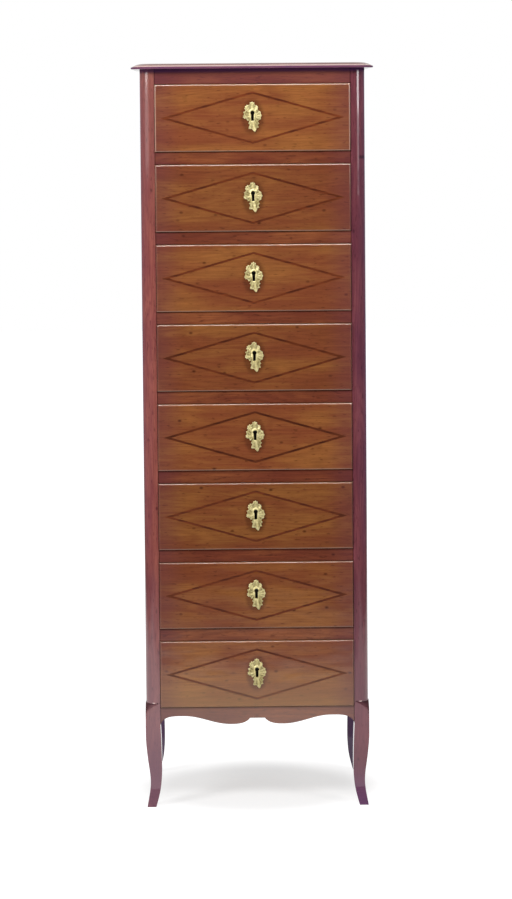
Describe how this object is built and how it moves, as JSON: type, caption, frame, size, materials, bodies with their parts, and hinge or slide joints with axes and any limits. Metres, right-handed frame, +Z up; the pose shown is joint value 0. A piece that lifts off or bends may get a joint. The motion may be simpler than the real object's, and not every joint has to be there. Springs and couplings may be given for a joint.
{
  "type": "semainier",
  "caption": "Tall narrow chest of drawers on short cabriole legs, with rounded posts, lozenge stringing on every drawer front and a cast escutcheon over each keyhole.",
  "frame": {"origin": "on the floor, under the middle of the top board", "axes": "+Z up, +X to the right as seen from the front, +Y to the back, so the drawers open towards -Y"},
  "size_m": [0.486, 0.354, 1.5],
  "materials": {
    "case_fruitwood": "polished",
    "drawer_fruitwood": "polished",
    "dark_stringing": "polished",
    "inside_oak": "matt",
    "gilt_brass": "satin",
    "lock_iron": "satin"
  },
  "bodies": {
    "case": {"top_board": "case_fruitwood", "front_left_post": "case_fruitwood", "front_right_post": "case_fruitwood", "rear_left_post": "case_fruitwood", "rear_right_post": "case_fruitwood", "drawer_rails": "case_fruitwood", "apron": "case_fruitwood", "side_and_back_rails": "case_fruitwood", "side_panels": "case_fruitwood", "back_boards": "inside_oak", "drawer_runners": "inside_oak", "drawer_stops": "inside_oak"},
    "drawer_1": {"drawer_1_front": "drawer_fruitwood", "drawer_1_stringing": "dark_stringing", "drawer_1_tray": "inside_oak", "drawer_1_escutcheon": "gilt_brass", "drawer_1_lock": "lock_iron"},
    "lock_bolt_1": {"drawer_1_bolt": "lock_iron"},
    "drawer_2": {"drawer_2_front": "drawer_fruitwood", "drawer_2_stringing": "dark_stringing", "drawer_2_tray": "inside_oak", "drawer_2_escutcheon": "gilt_brass", "drawer_2_lock": "lock_iron"},
    "lock_bolt_2": {"drawer_2_bolt": "lock_iron"},
    "drawer_3": {"drawer_3_front": "drawer_fruitwood", "drawer_3_stringing": "dark_stringing", "drawer_3_tray": "inside_oak", "drawer_3_escutcheon": "gilt_brass", "drawer_3_lock": "lock_iron"},
    "lock_bolt_3": {"drawer_3_bolt": "lock_iron"},
    "drawer_4": {"drawer_4_front": "drawer_fruitwood", "drawer_4_stringing": "dark_stringing", "drawer_4_tray": "inside_oak", "drawer_4_escutcheon": "gilt_brass", "drawer_4_lock": "lock_iron"},
    "lock_bolt_4": {"drawer_4_bolt": "lock_iron"},
    "drawer_5": {"drawer_5_front": "drawer_fruitwood", "drawer_5_stringing": "dark_stringing", "drawer_5_tray": "inside_oak", "drawer_5_escutcheon": "gilt_brass", "drawer_5_lock": "lock_iron"},
    "lock_bolt_5": {"drawer_5_bolt": "lock_iron"},
    "drawer_6": {"drawer_6_front": "drawer_fruitwood", "drawer_6_stringing": "dark_stringing", "drawer_6_tray": "inside_oak", "drawer_6_escutcheon": "gilt_brass", "drawer_6_lock": "lock_iron"},
    "lock_bolt_6": {"drawer_6_bolt": "lock_iron"},
    "drawer_7": {"drawer_7_front": "drawer_fruitwood", "drawer_7_stringing": "dark_stringing", "drawer_7_tray": "inside_oak", "drawer_7_escutcheon": "gilt_brass", "drawer_7_lock": "lock_iron"},
    "lock_bolt_7": {"drawer_7_bolt": "lock_iron"},
    "drawer_8": {"drawer_8_front": "drawer_fruitwood", "drawer_8_stringing": "dark_stringing", "drawer_8_tray": "inside_oak", "drawer_8_escutcheon": "gilt_brass", "drawer_8_lock": "lock_iron"},
    "lock_bolt_8": {"drawer_8_bolt": "lock_iron"}
  },
  "joints": [
    {"name": "drawer_1_slide", "type": "slide", "parent": "case", "child": "drawer_1", "axis": [0, -1, 0], "range_m": [0, 0.24]},
    {"name": "lock_bolt_1_throw", "type": "slide", "parent": "drawer_1", "child": "lock_bolt_1", "axis": [0, 0, 1], "range_m": [0, 0.008]},
    {"name": "drawer_2_slide", "type": "slide", "parent": "case", "child": "drawer_2", "axis": [0, -1, 0], "range_m": [0, 0.24]},
    {"name": "lock_bolt_2_throw", "type": "slide", "parent": "drawer_2", "child": "lock_bolt_2", "axis": [0, 0, 1], "range_m": [0, 0.008]},
    {"name": "drawer_3_slide", "type": "slide", "parent": "case", "child": "drawer_3", "axis": [0, -1, 0], "range_m": [0, 0.24]},
    {"name": "lock_bolt_3_throw", "type": "slide", "parent": "drawer_3", "child": "lock_bolt_3", "axis": [0, 0, 1], "range_m": [0, 0.008]},
    {"name": "drawer_4_slide", "type": "slide", "parent": "case", "child": "drawer_4", "axis": [0, -1, 0], "range_m": [0, 0.24]},
    {"name": "lock_bolt_4_throw", "type": "slide", "parent": "drawer_4", "child": "lock_bolt_4", "axis": [0, 0, 1], "range_m": [0, 0.008]},
    {"name": "drawer_5_slide", "type": "slide", "parent": "case", "child": "drawer_5", "axis": [0, -1, 0], "range_m": [0, 0.24]},
    {"name": "lock_bolt_5_throw", "type": "slide", "parent": "drawer_5", "child": "lock_bolt_5", "axis": [0, 0, 1], "range_m": [0, 0.008]},
    {"name": "drawer_6_slide", "type": "slide", "parent": "case", "child": "drawer_6", "axis": [0, -1, 0], "range_m": [0, 0.24]},
    {"name": "lock_bolt_6_throw", "type": "slide", "parent": "drawer_6", "child": "lock_bolt_6", "axis": [0, 0, 1], "range_m": [0, 0.008]},
    {"name": "drawer_7_slide", "type": "slide", "parent": "case", "child": "drawer_7", "axis": [0, -1, 0], "range_m": [0, 0.24]},
    {"name": "lock_bolt_7_throw", "type": "slide", "parent": "drawer_7", "child": "lock_bolt_7", "axis": [0, 0, 1], "range_m": [0, 0.008]},
    {"name": "drawer_8_slide", "type": "slide", "parent": "case", "child": "drawer_8", "axis": [0, -1, 0], "range_m": [0, 0.24]},
    {"name": "lock_bolt_8_throw", "type": "slide", "parent": "drawer_8", "child": "lock_bolt_8", "axis": [0, 0, 1], "range_m": [0, 0.008]}
  ]
}
